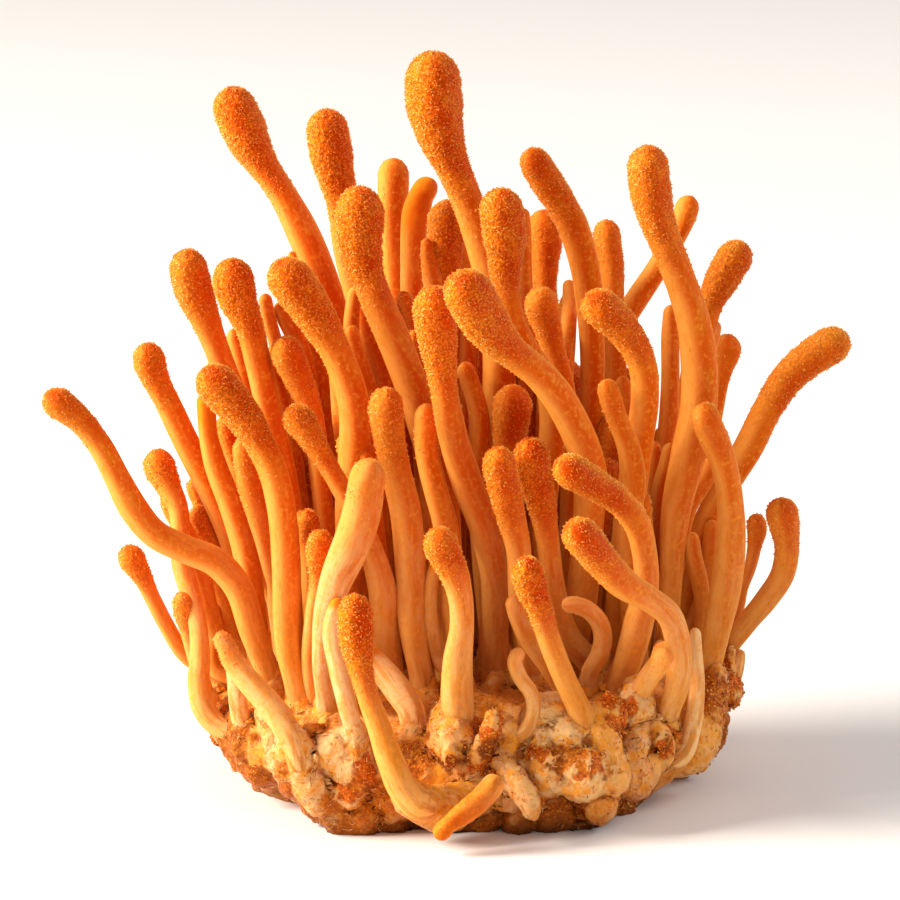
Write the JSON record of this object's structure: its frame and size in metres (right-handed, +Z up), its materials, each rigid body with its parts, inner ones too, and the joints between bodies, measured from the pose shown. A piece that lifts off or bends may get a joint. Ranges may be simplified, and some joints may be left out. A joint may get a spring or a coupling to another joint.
{
  "type": "cordyceps bunch",
  "caption": "Dense bunch of club-headed orange fungus stalks fanning out of a lumpy mycelium cushion that is cut off flat underneath.",
  "frame": {"origin": "on the surface that the bunch stands on, under the middle of its bounding box", "axes": "+Z up, -Y the side that the picture shows, +X to the right of that side"},
  "size_m": [0.0792, 0.0624, 0.0725],
  "materials": {
    "stalk": "matte",
    "low_stalk": "satin",
    "sprouts": "matte",
    "mycelium": "matte"
  },
  "bodies": {
    "root": {"base_mat": "mycelium", "stalk_left_01": "stalk", "stalk_left_02": "stalk", "stalk_left_03": "stalk", "stalk_left_04": "stalk", "stalk_left_05": "stalk", "stalk_left_06": "stalk", "stalk_left_07": "stalk", "stalk_left_08": "stalk", "stalk_left_09": "stalk", "stalk_left_10": "stalk", "stalk_left_11": "stalk", "stalk_left_12": "stalk", "stalk_left_13": "stalk", "stalk_mid_01": "stalk", "stalk_mid_02": "stalk", "stalk_mid_03": "stalk", "stalk_mid_04": "stalk", "stalk_mid_05": "stalk", "stalk_mid_06": "stalk", "stalk_mid_07": "stalk", "stalk_mid_08": "stalk", "stalk_mid_09": "stalk", "stalk_mid_10": "stalk", "stalk_mid_11": "stalk", "stalk_mid_12": "stalk", "stalk_mid_13": "stalk", "stalk_mid_14": "stalk", "stalk_mid_15": "stalk", "stalk_mid_16": "stalk", "stalk_mid_17": "stalk", "stalk_right_01": "stalk", "stalk_right_02": "stalk", "stalk_right_03": "stalk", "stalk_right_04": "stalk", "stalk_right_05": "stalk", "stalk_right_06": "stalk", "stalk_right_07": "stalk", "stalk_right_08": "stalk", "stalk_right_09": "stalk", "stalk_right_10": "stalk", "stalk_right_11": "stalk", "stalk_right_12": "stalk", "stalk_front_01": "low_stalk", "stalk_front_02": "low_stalk", "stalk_front_03": "low_stalk", "stalk_front_04": "low_stalk", "stalk_front_05": "low_stalk", "stalk_front_06": "low_stalk", "stalk_front_07": "low_stalk", "stalk_front_08": "low_stalk", "stalk_front_09": "low_stalk", "stub_front": "low_stalk", "tuft_left": "sprouts", "tuft_left_low": "sprouts", "tuft_mid": "sprouts", "tuft_front_left": "sprouts", "tuft_right": "sprouts", "tuft_back_left": "sprouts", "tuft_back_right": "sprouts"}
  },
  "joints": []
}
